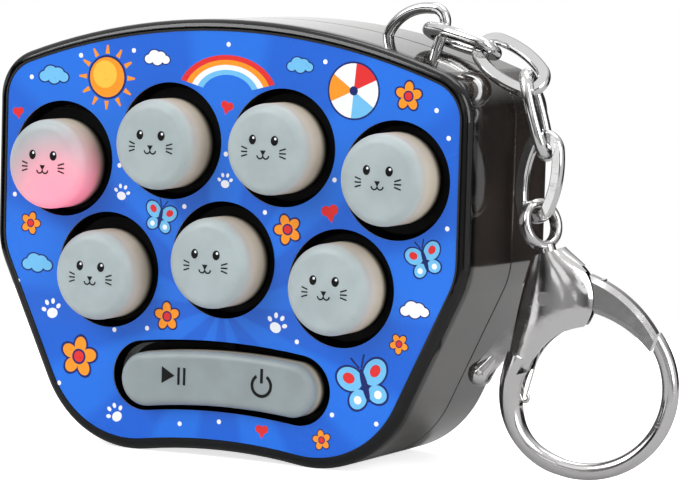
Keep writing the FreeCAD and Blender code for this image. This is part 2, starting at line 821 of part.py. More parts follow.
def chain_frames():
    """Top strand centre, long axis and end strand direction of each link, and the joint points."""
    strand = link_length - link_wire
    end_radius = link_end_radius()
    up = V(0, 0, 1)
    leg = V(bail_right, bail_height(), bail_bar_height)
    leg += V(bail_crest[0] - bail_right, 0, bail_crest[1] - bail_bar_height) * link_1_rise
    axes = [sloping(link_1_drop), sloping(link_2_drop), leaning(link_3_lean), leaning(-link_4_lean)]
    strands = [rolled(axes[0], up, -link_1_roll), rolled(axes[1], up, 90 - link_2_roll)]
    for axis, angle in zip(axes[2:], (link_3_facing, link_4_facing)):
        strands.append(facing(angle).cross(axis).normalize())
    first_top = leg - drape_direction() * (bail_wire / 2 + link_wire / 2 + link_gap)
    first_tip = first_top + axes[0] * strand
    second_top = first_tip + hooked(axes[0], strands[0], strands[1])
    second_heart = second_top + axes[1] * (strand - end_radius)
    square = axes[1].cross(strands[1])
    steepest = (square * square.z - up).normalize()
    second_low = second_heart + steepest * end_radius
    third_top = second_low + up * (link_wire + link_gap) + V(0, link_3_shift, 0)
    third_tip = third_top + axes[2] * strand
    fourth_top = third_tip + up * (link_wire + link_gap + link_4_play)
    fourth_tip = fourth_top + axes[3] * strand
    eye_drop = eye_outer - eye_band - link_wire / 2 - eye_hook_gap
    stem = V(0, 0, 1)
    for axis, angle in ((V(0, 1, 0), -clasp_tilt), (V(0, 0, 1), clasp_facing)):
        stem = FreeCAD.Rotation(axis, angle).multVec(stem)
    eye = fourth_tip - stem * eye_drop + strands[3] * eye_shift
    return {"tops": (first_top, second_top, third_top, fourth_top), "axes": axes, "strands": strands,
            "tips": (first_tip, second_low, third_tip, fourth_tip),
            "low_strand": square.cross(steepest), "eye": eye}


def chain_link(number):
    frames = chain_frames()
    axis, strand = frames["axes"][number - 1], frames["strands"][number - 1]
    centre = frames["tops"][number - 1] + axis * ((link_length - link_wire) / 2)
    return along_frame(link_ring(), centre, axis, strand)


def clasp_place(shape):
    """Carry a shape from the clasp's own plane to its place below the chain."""
    centre = chain_frames()["eye"]
    placed = shape.copy()
    placed.rotate(V(0, 0, 0), V(0, 1, 0), -clasp_tilt)
    placed.rotate(V(0, 0, 0), V(0, 0, 1), clasp_facing)
    placed.translate(centre)
    return placed


def swivel_eye():
    """Wide-band ring with a stem whose head turns inside the clasp's neck."""
    middle = eye_outer - eye_band / 2
    half = eye_width / 2 - eye_band / 2
    radius = eye_band / 2
    slant = radius * math.sin(math.radians(60))
    corners = [V(middle + across * radius, side * half + lift * slant, 0)
               for across, side, lift in ((1, -1, 0), (1, 1, 0), (0.5, 1, 1), (-0.5, 1, 1),
                                          (-1, 1, 0), (-1, -1, 0), (-0.5, -1, -1), (0.5, -1, -1))]
    section = Part.makePolygon(corners + corners[:1])
    ring = Part.Face(section).revolve(V(0, 0, 0), V(0, 1, 0), 360)
    ring.rotate(V(0, 0, 0), V(0, 0, 1), eye_facing - clasp_facing)
    top = -middle
    up = V(0, 0, 1)
    stem = cylinder(stem_radius, stem_head_depth + top + 0.3, 0, 0, -stem_head_depth - 0.3, up)
    low = stem_head_depth + stem_head_height
    head = cylinder(stem_head_radius, stem_head_height, 0, 0, -low, up)
    return clasp_place(fuse_all([ring, stem, head]))


def smooth_ring(middle, first_half, second_half, points=8):
    """Closed smooth oval round middle, from its two half axes."""
    spots = []
    for index in range(points):
        step = 2 * math.pi * index / points
        spots.append(middle + first_half * math.cos(step) + second_half * math.sin(step))
    curve = Part.BSplineCurve()
    curve.interpolate(Points=spots, PeriodicFlag=True)
    return Part.Wire(curve.toShape())


def hook_section(angle, inner, outer, half_depth):
    """Section of the hook on a ray from the hook's centre."""
    turn = math.radians(angle)
    ray = V(math.cos(turn), 0, math.sin(turn))
    middle = V(hook_centre[0], 0, hook_centre[1]) + ray * ((inner + outer) / 2)
    return smooth_ring(middle, ray * ((outer - inner) / 2), V(0, half_depth, 0))


def body_section(w, low_u, high_u, half_depth):
    """Level section across the body of the clasp."""
    return smooth_ring(V((low_u + high_u) / 2, 0, w), V((high_u - low_u) / 2, 0, 0), V(0, half_depth, 0))


def hook_wire_arc(start, end):
    """Round wire of the hook from one angle to another about the hook's centre."""
    heart = V(hook_centre[0], 0, hook_centre[1])
    turn = math.radians(start)
    ray = V(math.cos(turn), 0, math.sin(turn))
    middle = heart + ray * (hook_outer - hook_wire / 2)
    face = Part.Face(Part.Wire(Part.makeCircle(hook_wire / 2, middle, V(-ray.z, 0, ray.x))))
    return face.revolve(heart, V(0, -1, 0), end - start)


def slot_slab(outline_points, thickness):
    corners = [V(u, -thickness / 2, w) for u, w in outline_points]
    return Part.Face(Part.makePolygon(corners + corners[:1])).extrude(V(0, thickness, 0))


def across_clasp(centre, radius, length=12):
    """Cylinder through the clasp, square to its plane."""
    return Part.makeCylinder(radius, length, V(centre[0], -length / 2, centre[1]), V(0, 1, 0))


def clasp_body():
    """Cast clasp: neck, two cheeks round the gate's slot, left limb and the hook to its tip."""
    body = Part.makeLoft([
        body_section(-neck_top, -2.15, 2.3, 2.2),
        body_section(-5.4, -3.4, 3.5, 2.5),
        body_section(-8.4, -5.3, 5.0, 2.8),
        body_section(-11.6, -7.1, 4.9, 2.8),
        body_section(-14.8, -8.9, 3.0, 2.5),
        body_section(-17.6, -10.3, -2.0, 2.2)], True, False)
    wire = hook_wire
    limb = Part.makeLoft([
        hook_section(-118, hook_outer - 0.94 * wire, hook_outer - 0.06 * wire, 0.44 * wire),
        hook_section(-136, hook_outer - 1.05 * wire, hook_outer + 0.04 * wire, 0.55 * wire),
        hook_section(-162, hook_outer - 2.7, hook_outer - 0.1, 1.6),
        hook_section(-180, hook_outer - limb_width, hook_outer - 0.4, 1.85),
        hook_section(-200, hook_outer - 4.3, hook_outer - 0.8, 2.1),
        hook_section(-220, hook_outer - 5.0, hook_outer - 0.75, 2.3)], True, False)
    hook = hook_wire_arc(-130, 26).fuse(limb)
    pivot_u, pivot_w = gate_pivot
    shape = body.cut(across_clasp(clasp_opening_centre, clasp_opening)).fuse(hook)
    seam_zone = block((pivot_u, 14), (-6, 6), (-14.8, pivot_w + 1.9))
    shape = shape.cut(seam_zone.cut(across_clasp(gate_pivot, gate_seam_radius)))
    tip_zone = block((4, 16), (-6, 6), (-22, -14.8))
    shape = shape.cut(tip_zone.common(across_clasp(gate_pivot, gate_tip_radius + gate_tip_gap)))
    slot_width = gate_tongue + 2 * gate_side_gap
    shape = shape.cut(slot_slab([(8, -6.9), (1.2, -6.2), (-3.2, -6.2), (-8, -9.2), (-15, -11.6),
                                 (-15, -18.6), (-9.2, -16.8), (-9.2, -21.4), (-7.0, -22.4),
                                 (8, -17)], slot_width))
    low = stem_head_depth + stem_head_height
    stem_bore = cylinder(stem_radius + stem_fit, low, 0, 0, -low, V(0, 0, 1))
    head_room = cylinder(stem_head_radius + 0.1, stem_head_height + 1.4, 0, 0, -low - 1.3, V(0, 0, 1))
    return clasp_place(shape.cut([across_clasp(gate_pivot, gate_pin_radius), stem_bore, head_room]))


def gate_pin():
    return clasp_place(across_clasp(gate_pivot, gate_pin_radius, gate_pin_length))


def gate_lever():
    """Gate, hub and thumb tab in one piece, turning on the pin."""
    pivot = V(gate_pivot[0], 0, gate_pivot[1])
    seam = gate_seam_radius + gate_seam_gap
    root_top, root_mid, root_low = [on_circle(gate_pivot, seam, angle, 0) for angle in (12.5, -10, -33)]
    tip_top, tip_mid, tip_low = [on_circle(gate_pivot, gate_tip_radius, angle, 0)
                                 for angle in (-33.2, -37.5, -42.5)]
    halfway = (seam + gate_tip_radius) / 2
    upper_mid = on_circle(gate_pivot, halfway + gate_bow, -19.7, 0)
    lower_mid = on_circle(gate_pivot, halfway + gate_bow / 2, -36.5, 0)
    gate_wire = Part.Wire([
        Part.Arc(root_top, upper_mid, tip_top).toShape(),
        Part.Arc(tip_top, tip_mid, tip_low).toShape(),
        Part.Arc(tip_low, lower_mid, root_low).toShape(),
        Part.Arc(root_low, root_mid, root_top).toShape()])
    gate = Part.Face(gate_wire).extrude(V(0, gate_thickness, 0))
    gate.translate(V(0, -gate_thickness / 2, 0))
    long_edges = [edge for edge in gate.Edges if edge.Length > 7 and edge.BoundBox.YLength < 0.01]
    gate = gate.makeChamfer(gate_edge, long_edges)
    half = gate_tongue / 2
    hub = across_clasp(gate_pivot, hub_radius, gate_tongue)
    tongue_corners = [on_circle(gate_pivot, radius, angle, -half)
                      for radius, angle in ((hub_radius, 80), (seam + 1.5, 2), (seam + 1.0, -26),
                                            (hub_radius, -100))]
    tongue = Part.Face(Part.makePolygon(tongue_corners + tongue_corners[:1])).extrude(V(0, gate_tongue, 0))
    thumb = V(thumb_spot[0], 0, thumb_spot[1])
    way = (thumb - pivot).normalize()
    side = V(way.z, 0, -way.x) * (thumb_arm / 2)
    root = pivot + way * (hub_radius * 0.5)
    arm_corners = [corner - V(0, half, 0)
                   for corner in (root + side, thumb + side, thumb - side, root - side)]
    arm = Part.Face(Part.makePolygon(arm_corners + arm_corners[:1])).extrude(V(0, gate_tongue, 0))
    knob = Part.makeSphere(thumb_radius, thumb)
    grip = Part.makeCone(half, thumb_radius, 2 * thumb_radius, thumb - way * (2 * thumb_radius), way)
    lever = fuse_all([gate, hub, tongue, arm, knob, grip])
    return clasp_place(lever.cut(across_clasp(gate_pivot, gate_pin_radius + gate_pin_fit)))


def gate_spring():
    """Hairpin spring in the slot: one leg along the limb, the other up to the lever's hub."""
    limb_inside = hook_outer - limb_width
    fixed_end, heel, turn_low, bend_end = [
        on_circle(hook_centre, limb_inside + inset, angle, 0)
        for inset, angle in ((1.13, 156.7), (0.11, 176.7), (-0.4, 179.3), (-0.7, 173.4))]
    free_end = on_circle(gate_pivot, hub_radius + gate_spring_wire, 252, 0)
    bend = Part.Arc(heel, turn_low, bend_end).toShape()
    path = Part.Wire([line(fixed_end, heel), bend, line(bend_end, free_end)])
    profile = Part.Wire(Part.makeCircle(gate_spring_wire / 2, fixed_end, heel - fixed_end))
    return clasp_place(path.makePipeShell([profile], True, True))


def nodes():
    """Every sub-part by the name of its node."""
    made = {
        "front_housing": front_housing(),
        "rear_housing": rear_housing(),
        "face_label": face_label(),
        "keypad_mat": keypad_mat(),
        "circuit_board": circuit_board(),
        "key_leds": key_leds(),
        "sound_chip": sound_chip(),
        "board_components": board_components(),
        "board_screws": board_screws(),
        "speaker": speaker(),
        "battery_cells": battery_cells(),
        "battery_contacts": battery_contacts(),
        "battery_door": battery_door(),
        "door_screw": door_screw(),
        "case_screws": case_screws(),
        "wire_bail": wire_bail(),
        "control_key": control_key(),
        "swivel_eye": swivel_eye(),
        "clasp_body": clasp_body(),
        "gate_pin": gate_pin(),
        "gate_lever": gate_lever(),
        "gate_spring": gate_spring(),
    }
    for number in range(1, 8):
        made["whack_key_%d" % number] = whack_key(number)
    for number in range(1, 5):
        made["chain_link_%d" % number] = chain_link(number)
    return made


def main():
    os.makedirs("parts", exist_ok=True)
    for name, shape in nodes().items():
        if not shape.isValid():
            print("not valid:", name)
        shape.exportStep("parts/%s.step" % name)


main()
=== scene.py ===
import math

import bmesh
import bpy
from mathutils import Matrix, Vector
from mathutils.bvhtree import BVHTree


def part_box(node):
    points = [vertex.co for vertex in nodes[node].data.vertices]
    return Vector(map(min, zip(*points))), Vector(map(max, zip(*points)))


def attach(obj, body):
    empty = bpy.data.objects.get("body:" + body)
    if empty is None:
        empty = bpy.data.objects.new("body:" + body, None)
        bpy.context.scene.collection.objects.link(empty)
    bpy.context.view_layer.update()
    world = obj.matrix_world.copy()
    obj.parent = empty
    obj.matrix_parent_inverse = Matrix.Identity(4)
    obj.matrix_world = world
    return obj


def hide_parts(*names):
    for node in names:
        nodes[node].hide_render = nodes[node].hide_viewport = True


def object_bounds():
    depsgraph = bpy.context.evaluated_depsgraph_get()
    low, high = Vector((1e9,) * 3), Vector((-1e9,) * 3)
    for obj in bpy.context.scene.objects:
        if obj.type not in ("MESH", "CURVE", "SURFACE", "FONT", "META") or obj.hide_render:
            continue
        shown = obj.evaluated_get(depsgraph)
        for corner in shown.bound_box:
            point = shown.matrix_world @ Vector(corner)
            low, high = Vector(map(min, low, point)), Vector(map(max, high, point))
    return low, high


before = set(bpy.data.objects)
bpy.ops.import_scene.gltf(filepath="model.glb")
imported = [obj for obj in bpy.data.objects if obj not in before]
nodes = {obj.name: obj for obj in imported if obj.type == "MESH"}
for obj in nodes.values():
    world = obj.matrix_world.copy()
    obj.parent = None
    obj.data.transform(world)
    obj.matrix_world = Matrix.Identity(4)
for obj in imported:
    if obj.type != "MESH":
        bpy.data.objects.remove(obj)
cad_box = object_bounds()
MM = 0.001
WHACK_KEYS = ["whack_key_%d" % number for number in range(1, 8)]
CHAIN_LINKS = ["chain_link_%d" % number for number in range(1, 5)]
LABEL_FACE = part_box("face_label")[0][1]
FACE_WALL = 1.8 * MM
FACE_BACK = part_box("front_housing")[0][1] + FACE_WALL
LIT_KEY = "whack_key_1"
CAP_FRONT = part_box(LIT_KEY)[0][1]
EYE_CENTRE = (40.662 * MM, -14.919 * MM, 6.742 * MM)
SHARP_FROM = 0.6


# New pieces

def add_object(name, shape, materials):
    """New object in the scene from a bmesh, which is freed."""
    mesh = bpy.data.meshes.new(name)
    shape.to_mesh(mesh)
    shape.free()
    for material in materials:
        mesh.materials.append(material)
    made = bpy.data.objects.new(name, mesh)
    bpy.context.scene.collection.objects.link(made)
    return made


def spin_round(shape, profile, steps):
    """Turn a profile fully round the Y axis, with the seam and the poles merged."""
    bmesh.ops.spin(shape, geom=profile, cent=(0, 0, 0), axis=(0, 1, 0), angle=2 * math.pi, steps=steps,
                   use_merge=True)
    bmesh.ops.remove_doubles(shape, verts=shape.verts, dist=1e-6)


def shade_smooth(shape):
    """Smooth faces, with the edges sharp where two faces meet at SHARP_FROM radians or more."""
    for face in shape.faces:
        face.smooth = True
    for rim in shape.edges:
        rim.smooth = len(rim.link_faces) == 2 and rim.calc_face_angle() < SHARP_FROM


# Camera, floor and light

def place_camera():
    """Long-lens view on the face from the right, a little above, as in the photograph."""
    right = Vector((0.88485, 0.46501, 0.02851))
    up = Vector((-0.06850, 0.06933, 0.99524))
    back = Vector((0.46082, -0.88259, 0.09319))
    spot = Vector((0.234752, -0.441424, 0.046902))
    turn = Matrix((right, up, back)).transposed().to_4x4()
    lens = bpy.data.cameras.new("studio_camera")
    lens.lens = 195.85
    lens.sensor_width = 36.0
    lens.clip_start = 0.01
    lens.clip_end = 20.0
    camera = bpy.data.objects.new("studio_camera", lens)
    bpy.context.scene.collection.objects.link(camera)
    camera.matrix_world = Matrix.Translation(spot) @ turn
    bpy.context.scene.camera = camera


def soft_light(name, spot, aim, size, power):
    """White softbox at spot, turned towards aim."""
    lamp = bpy.data.lights.new(name, "AREA")
    lamp.shape = "RECTANGLE"
    lamp.size, lamp.size_y = size
    lamp.energy = power
    holder = bpy.data.objects.new(name, lamp)
    bpy.context.scene.collection.objects.link(holder)
    holder.location = spot
    way = Vector(aim) - Vector(spot)
    holder.rotation_euler = way.to_track_quat("-Z", "Y").to_euler()


class Room:
    """Node tree of the world, with the few steps that its brightness needs."""

    def __init__(self, world):
        world.use_nodes = True
        self.tree = world.node_tree
        self.tree.nodes.clear()

    def background(self, level):
        """Plain background of a grey level, given as a number or a value socket."""
        made = self.tree.nodes.new("ShaderNodeBackground")
        if isinstance(level, float):
            made.inputs["Color"].default_value = (level, level, level, 1.0)
        else:
            self.tree.links.new(level, made.inputs["Color"])
        return made.outputs["Background"]

    def ramp(self, value, low, high):
        """0 at low, 1 at high, with a smooth step between."""
        band = self.tree.nodes.new("ShaderNodeMapRange")
        band.interpolation_type = "SMOOTHSTEP"
        band.inputs["From Min"].default_value = low
        band.inputs["From Max"].default_value = high
        self.tree.links.new(value, band.inputs["Value"])
        return band.outputs["Result"]

    def combine(self, operation, first, *others):
        """One operation over two or more values, each a number or a socket."""
        for other in others:
            made = self.tree.nodes.new("ShaderNodeMath")
            made.operation = operation
            for socket, value in zip(made.inputs, (first, other)):
                if isinstance(value, float):
                    socket.default_value = value
                else:
                    self.tree.links.new(value, socket)
            first = made.outputs["Value"]
        return first


def studio_world():
    """Pale fill for diffuse rays, a dark room with bright places for glossy ones, white for the others."""
    fill, darkest = 0.55, 0.02
    front_level, right_level, shelf_level, shelf_scale = 0.38, 0.8, 1.2, 2.3
    world = bpy.data.worlds.new("studio_room")
    bpy.context.scene.world = world
    room = Room(world)
    tree = room.tree
    where = tree.nodes.new("ShaderNodeTexCoord")
    way = tree.nodes.new("ShaderNodeSeparateXYZ")
    tree.links.new(where.outputs["Generated"], way.inputs["Vector"])
    across, away, up = (way.outputs[axis] for axis in "XYZ")
    ceiling = room.ramp(up, 0.12, 0.85)
    window = room.combine("MULTIPLY", room.ramp(across, 0.10, -0.60), room.ramp(away, 0.10, 0.60))
    patches = tree.nodes.new("ShaderNodeTexNoise")
    patches.inputs["Scale"].default_value = shelf_scale
    patches.inputs["Detail"].default_value = 1.0
    tree.links.new(where.outputs["Generated"], patches.inputs["Vector"])
    shelves = room.combine("MULTIPLY", room.ramp(patches.outputs["Fac"], 0.54, 0.58),
                           room.ramp(away, 0.45, -0.10), shelf_level)
    front = room.combine("MULTIPLY", room.ramp(away, -0.45, -0.95), room.ramp(across, -0.35, 0.20),
                         front_level)
    right = room.combine("MULTIPLY", room.ramp(across, 0.76, 0.93), right_level)
    level = room.combine("MAXIMUM", ceiling, window, shelves, front, right, darkest)
    ray = tree.nodes.new("ShaderNodeLightPath")
    out = tree.nodes.new("ShaderNodeOutputWorld")
    shown = room.background(fill)
    white = room.background(1.0)
    for kind, source in (("Is Glossy Ray", room.background(level)), ("Is Transmission Ray", white),
                         ("Is Camera Ray", white)):
        choice = tree.nodes.new("ShaderNodeMixShader")
        tree.links.new(ray.outputs[kind], choice.inputs["Fac"])
        tree.links.new(shown, choice.inputs[1])
        tree.links.new(source, choice.inputs[2])
        shown = choice.outputs["Shader"]
    tree.links.new(shown, out.inputs["Surface"])


def pale_floor():
    """Small pale sheet under the part, white to the camera apart from the part's shadow."""
    half_size, tone, mirrored_tone, camera_lift = 0.14, 0.86, 0.50, 0.75
    shape = bmesh.new()
    bmesh.ops.create_grid(shape, x_segments=1, y_segments=1, size=half_size)
    bmesh.ops.translate(shape, verts=shape.verts, vec=(0.0, 0.0, cad_box[0][2]))
    finish = bpy.data.materials.new("pale_floor")
    finish.use_nodes = True
    tree = finish.node_tree
    paper = tree.nodes["Principled BSDF"]
    paper.inputs["Roughness"].default_value = 0.9
    paper.inputs["Specular IOR Level"].default_value = 0.0
    paper.inputs["Emission Color"].default_value = (1.0, 1.0, 1.0, 1.0)
    ray = tree.nodes.new("ShaderNodeLightPath")
    blend = tree.nodes.new("ShaderNodeMix")
    blend.data_type = "RGBA"
    blend.inputs[6].default_value = (tone, tone, tone, 1.0)
    blend.inputs[7].default_value = (mirrored_tone, mirrored_tone, mirrored_tone, 1.0)
    tree.links.new(ray.outputs["Is Glossy Ray"], blend.inputs["Factor"])
    tree.links.new(blend.outputs[2], paper.inputs["Base Color"])
    lift = tree.nodes.new("ShaderNodeMath")
    lift.operation = "MULTIPLY"
    lift.inputs[1].default_value = camera_lift
    tree.links.new(ray.outputs["Is Camera Ray"], lift.inputs[0])
    tree.links.new(lift.outputs["Value"], paper.inputs["Emission Strength"])
    floor = add_object("pale_floor", shape, [finish])


# Effects that several finishes share

def effect_group(name, numbers, outputs):
    """Empty node group with named number inputs and the given outputs."""
    group = bpy.data.node_groups.new(name, "ShaderNodeTree")
    for label, value in numbers:
        socket = group.interface.new_socket(label, in_out="INPUT", socket_type="NodeSocketFloat")
        socket.default_value = value
    for label, kind in outputs:
        group.interface.new_socket(label, in_out="OUTPUT", socket_type=kind)
    return group, group.nodes.new("NodeGroupInput"), group.nodes.new("NodeGroupOutput")


def handled_surface():
    """Roughness that varies as on a handled surface, and the height of its fine unevenness."""
    group, given, result = effect_group(
        "handled_surface",
        (("Patch Scale", 90.0), ("Smooth", 0.1), ("Rough", 0.25), ("Grain Scale", 4000.0)),
        (("Roughness", "NodeSocketFloat"), ("Height", "NodeSocketFloat"), ("Mask", "NodeSocketFloat")))
    where = group.nodes.new("ShaderNodeTexCoord")
    patches = group.nodes.new("ShaderNodeTexNoise")
    patches.inputs["Detail"].default_value = 4.0
    grain = group.nodes.new("ShaderNodeTexNoise")
    grain.inputs["Detail"].default_value = 2.0
    spread = group.nodes.new("ShaderNodeMapRange")
    spread.inputs["From Min"].default_value = 0.3
    spread.inputs["From Max"].default_value = 0.7
    group.links.new(where.outputs["Object"], patches.inputs["Vector"])
    group.links.new(where.outputs["Object"], grain.inputs["Vector"])
    group.links.new(given.outputs["Patch Scale"], patches.inputs["Scale"])
    group.links.new(given.outputs["Grain Scale"], grain.inputs["Scale"])
    group.links.new(patches.outputs["Fac"], spread.inputs["Value"])
    group.links.new(given.outputs["Smooth"], spread.inputs["To Min"])
    group.links.new(given.outputs["Rough"], spread.inputs["To Max"])
    group.links.new(spread.outputs["Result"], result.inputs["Roughness"])
    group.links.new(grain.outputs["Fac"], result.inputs["Height"])
    group.links.new(patches.outputs["Fac"], result.inputs["Mask"])
    return group


def hairline_marks():
    """Thin crossing scuffs, 1 on a mark and 0 beside it."""
    group, given, result = effect_group("hairline_marks", (("Scale", 300.0),),
                                        (("Mask", "NodeSocketFloat"),))
    where = group.nodes.new("ShaderNodeTexCoord")
    masks = []
    for turn in ((0.3, 0.5, 0.2), (1.4, -0.6, 0.9)):
        place = group.nodes.new("ShaderNodeMapping")
        place.inputs["Rotation"].default_value = turn
        place.inputs["Scale"].default_value = (1.0, 14.0, 14.0)
        lines = group.nodes.new("ShaderNodeTexNoise")
        lines.inputs["Detail"].default_value = 1.0
        thin = group.nodes.new("ShaderNodeMapRange")
        thin.inputs["From Min"].default_value = 0.68
        thin.inputs["From Max"].default_value = 0.74
        group.links.new(where.outputs["Object"], place.inputs["Vector"])
        group.links.new(place.outputs["Vector"], lines.inputs["Vector"])
        group.links.new(given.outputs["Scale"], lines.inputs["Scale"])
        group.links.new(lines.outputs["Fac"], thin.inputs["Value"])
        masks.append(thin)
    either = group.nodes.new("ShaderNodeMath")
    either.operation = "MAXIMUM"
    group.links.new(masks[0].outputs["Result"], either.inputs[0])
    group.links.new(masks[1].outputs["Result"], either.inputs[1])
    group.links.new(either.outputs["Value"], result.inputs["Mask"])
    return group


HANDLED = handled_surface()
HAIRLINES = hairline_marks()


# Finishes

class Finish:
    """A Principled material with its node tree at hand."""

    def __init__(self, name, colour, **plain):
        self.material = bpy.data.materials.new(name)
        self.material.use_nodes = True
        self.tree = self.material.node_tree
        self.shader = self.tree.nodes["Principled BSDF"]
        self.shader.inputs["Base Color"].default_value = (*colour, 1.0)
        for label, value in plain.items():
            self.shader.inputs[label.replace("_", " ")].default_value = value

    def node(self, kind, **settings):
        """New node with its settings."""
        made = self.tree.nodes.new(kind)
        for label, value in settings.items():
            setattr(made, label, value)
        return made

    def link(self, source, target):
        self.tree.links.new(source, target)

    def group(self, tree, **numbers):
        """Shared effect with this finish's own values."""
        made = self.node("ShaderNodeGroup", node_tree=tree)
        for label, value in numbers.items():
            made.inputs[label.replace("_", " ")].default_value = value
        return made

    def handled(self, patch, smooth, rough, grain=4000.0, bump=0.0):
        """Varied roughness and, where bump is set, a fine uneven surface."""
        surface = self.group(HANDLED, Patch_Scale=patch, Smooth=smooth, Rough=rough, Grain_Scale=grain)
        self.link(surface.outputs["Roughness"], self.shader.inputs["Roughness"])
        if bump:
            relief = self.node("ShaderNodeBump")
            relief.inputs["Strength"].default_value = bump
            relief.inputs["Distance"].default_value = 0.02 * MM
            self.link(surface.outputs["Height"], relief.inputs["Height"])
            self.link(relief.outputs["Normal"], self.shader.inputs["Normal"])
        return surface

    def mix(self, factor, low, high):
        """Colour mixed from low to high by a value socket; colours are triples or sockets."""
        blend = self.node("ShaderNodeMix", data_type="RGBA")
        self.link(factor, blend.inputs["Factor"])
        for socket, value in ((blend.inputs[6], low), (blend.inputs[7], high)):
            if isinstance(value, tuple):
                socket.default_value = (*value, 1.0)
            else:
                self.link(value, socket)
        return blend.outputs[2]

    def ramp(self, value, low, high, to_low=0.0, to_high=1.0):
        """Smooth step from to_low at low to to_high at high."""
        band = self.node("ShaderNodeMapRange", interpolation_type="SMOOTHSTEP")
        limits = {"From Min": low, "From Max": high, "To Min": to_low, "To Max": to_high}
        for label, number in limits.items():
            band.inputs[label].default_value = number
        self.link(value, band.inputs["Value"])
        return band.outputs["Result"]

    def paint(self, colour):
        """Take the base colour from a colour socket."""
        self.link(colour, self.shader.inputs["Base Color"])

    def calculate(self, operation, first, second):
        """Value socket of one operation on two values, each a number or a socket."""
        step = self.node("ShaderNodeMath", operation=operation)
        for socket, value in ((step.inputs[0], first), (step.inputs[1], second)):
            if isinstance(value, float):
                socket.default_value = value
            else:
                self.link(value, socket)
        return step.outputs["Value"]

    def point(self):
        """The piece's own coordinates, in metres."""
        return self.node("ShaderNodeTexCoord").outputs["Object"]

    def along(self, point, axis):
        """X, Y or Z of the piece's own coordinates."""
        parts = self.node("ShaderNodeSeparateXYZ")
        self.link(point, parts.inputs["Vector"])
        return parts.outputs[axis]

    def speckle(self, point, scale):
        """Value socket of a noise pattern over the piece."""
        pattern = self.node("ShaderNodeTexNoise")
        pattern.inputs["Scale"].default_value = scale
        self.link(point, pattern.inputs["Vector"])
        return pattern.outputs["Fac"]


def smoked_shell():
    """Polished smoked plastic: black face and rim, whose black also paints shade into the key holes; brown
    and a little see-through along the sides.
    """
    black_and_hole_shade = (0.004, 0.004, 0.004)
    finish = Finish("smoked_shell", black_and_hole_shade, Coat_Roughness=0.03, Transmission_Weight=0.8)
    point = finish.point()
    depth = finish.along(point, "Y")
    finish.handled(patch=70.0, smooth=0.04, rough=0.13, bump=0.03)
    low, high = FACE_BACK, FACE_BACK + 1.2 * MM
    finish.link(finish.ramp(depth, low, high, 0.12, 0.5), finish.shader.inputs["Specular IOR Level"])
    finish.link(finish.ramp(depth, low, high, 0.0, 0.8), finish.shader.inputs["Coat Weight"])
    cloud = finish.ramp(finish.speckle(point, 60.0), 0.35, 0.65)
    smoke = finish.mix(cloud, (0.045, 0.038, 0.034), (0.11, 0.085, 0.072))
    # The black front zone is the rim's own dark plastic and, on the walls of the key holes, painted shade.
    finish.paint(finish.mix(finish.ramp(depth, low, high), black_and_hole_shade, smoke))
    return finish.material


def printed_label():
    """Glossy blue print with faint paler beams that fan out from below the middle."""
    fan_drop, beam_count, skin = 6.0 * MM, 9.0, 0.03 * MM
    finish = Finish("printed_label", (0.01, 0.13, 0.70), Coat_Weight=0.2, Coat_Roughness=0.05,
                    Specular_IOR_Level=0.3)
    point = finish.point()
    finish.handled(patch=60.0, smooth=0.22, rough=0.34)
    height = finish.calculate("ADD", finish.along(point, "Z"), fan_drop)
    angle = finish.calculate("ARCTAN2", height, finish.along(point, "X"))
    swing = finish.node("ShaderNodeMath", operation="SINE")
    finish.link(finish.calculate("MULTIPLY", angle, beam_count), swing.inputs[0])
    beam = finish.ramp(swing.outputs["Value"], -0.3, 0.5, 0.0, 0.55)
    print_colour = finish.mix(beam, (0.006, 0.110, 0.60), (0.012, 0.180, 0.78))
    cut_edge = finish.ramp(finish.along(point, "Y"), LABEL_FACE + skin, LABEL_FACE + 2 * skin)
    finish.paint(finish.mix(cut_edge, print_colour, (0.36, 0.34, 0.31)))
    return finish.material


def print_ink(name, colour):
    """Flat printing ink with a slight spread of tone."""
    finish = Finish(name, colour, Specular_IOR_Level=0.25)
    surface = finish.handled(patch=900.0, smooth=0.25, rough=0.38)
    darker = tuple(channel * 0.93 for channel in colour)
    finish.paint(finish.mix(surface.outputs["Mask"], darker, colour))
    return finish.material


def milky_silicone(name, front, lamp=None, tone=1.0):
    """Translucent milky rubber: grey in front, a creamier painted glow down its side, painted shade where
    it enters the shell.
    """
    finish = Finish(name, (0.30, 0.36, 0.37), Subsurface_Weight=0.25, Subsurface_Scale=2.0 * MM)
    finish.shader.inputs["Subsurface Radius"].default_value = (1.0, 0.9, 0.8)
    point = finish.point()
    inwards = finish.along(point, "Y")
    finish.handled(patch=350.0, smooth=0.34, rough=0.46, grain=2500.0, bump=0.05)
    pale = tuple(tone * channel for channel in (0.375, 0.435, 0.445))
    dim = tuple(tone * channel for channel in (0.335, 0.39, 0.40))
    colour = finish.mix(finish.ramp(finish.speckle(point, 260.0), 0.3, 0.7), dim, pale)
    specks = finish.ramp(finish.speckle(point, 2600.0), 0.70, 0.76, 0.0, 0.3)
    colour = finish.mix(specks, colour, (0.20, 0.21, 0.20))
    # Painted glow: the side turns cream, standing in for light that passes through the rubber.
    painted_side_glow = finish.ramp(inwards, front + 0.5 * MM, front + 2.7 * MM)
    colour = finish.mix(painted_side_glow, colour, (0.62, 0.55, 0.44))
    if lamp:
        colour = light_from_below(finish, point, inwards, lamp, colour)
    # Painted shade: the rubber turns near black where it goes into the shell's hole.
    painted_hole_shade = finish.ramp(inwards, LABEL_FACE - 0.2 * MM, LABEL_FACE + 1.6 * MM)
    finish.paint(finish.mix(painted_hole_shade, colour, (0.006, 0.006, 0.006)))
    finish.link(finish.ramp(inwards, LABEL_FACE, LABEL_FACE + 1.5 * MM, 0.35, 0.05),
                finish.shader.inputs["Specular IOR Level"])
    return finish.material


